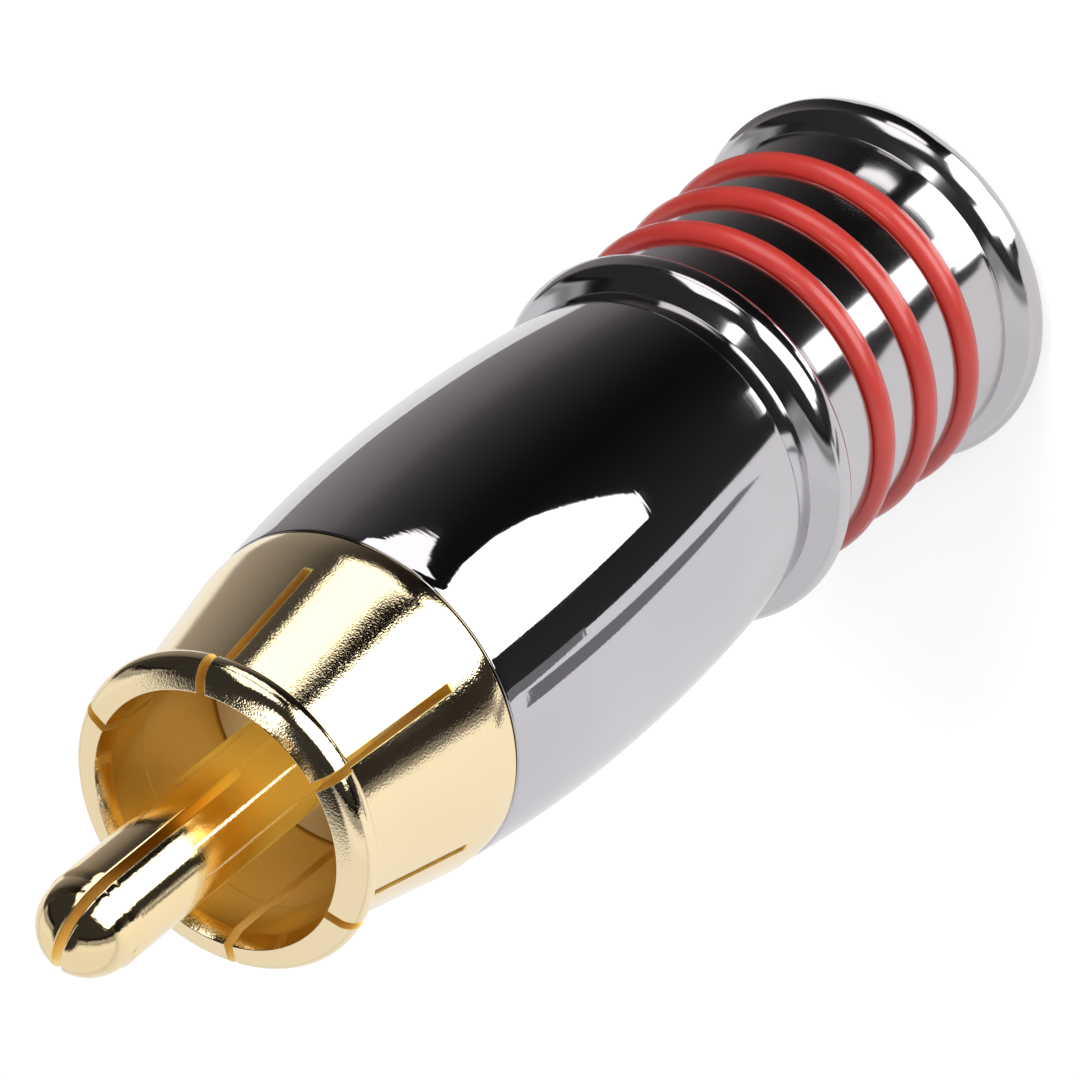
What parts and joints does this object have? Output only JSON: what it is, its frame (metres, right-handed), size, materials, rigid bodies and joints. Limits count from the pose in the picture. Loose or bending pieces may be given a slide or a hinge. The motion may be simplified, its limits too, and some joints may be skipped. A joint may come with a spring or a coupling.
{
  "type": "rca plug",
  "caption": "Solder-type phono plug: split centre pin, slit grip collar, and a swollen metal barrel with colour-coding O-rings that screws off the contact insert.",
  "frame": {"origin": "middle of the barrel's flat rear face, on the plug's axis", "axes": "+Z along the plug's axis, from the cable end to the tip of the centre pin; +X towards the earth lug's arm and through the middle of a collar slit"},
  "size_m": [0.0124, 0.0124, 0.0443],
  "materials": {
    "dark_chrome": "turned brass, polished and plated in dark chrome",
    "red_rubber": "smooth red rubber, slight gloss",
    "gold_plate": "turned brass, polished and gold plated",
    "pin_gold_plate": "turned brass, polished and gold plated",
    "tinned_brass": "stamped brass sheet, tinned",
    "ivory_plastic": "natural moulded plastic",
    "sleeve_plastic": "extruded plastic tube"
  },
  "bodies": {
    "barrel_body": {"barrel": "dark_chrome", "coding_ring_rear": "red_rubber", "coding_ring_middle": "red_rubber", "coding_ring_front": "red_rubber"},
    "sleeve_body": {"insulating_sleeve": "sleeve_plastic"},
    "insert_body": {"shield_contact": "gold_plate", "centre_pin": "pin_gold_plate", "front_insulator": "ivory_plastic", "rear_insulator": "ivory_plastic", "earth_lug": "tinned_brass"}
  },
  "joints": [
    {"name": "unscrew_travel", "type": "slide", "parent": "barrel_body", "child": "sleeve_body", "axis": [0, 0, 1], "range_m": [0, 0.0045]},
    {"name": "unscrew_turn", "type": "hinge", "parent": "sleeve_body", "child": "insert_body", "pos_m": [0, 0, 0.02925], "axis": [0, 0, 1], "range_deg": [0, 2160]}
  ],
  "couplings": [
    {"joint": "unscrew_travel", "follows": "unscrew_turn", "m_per_rad": 0.00011937}
  ]
}
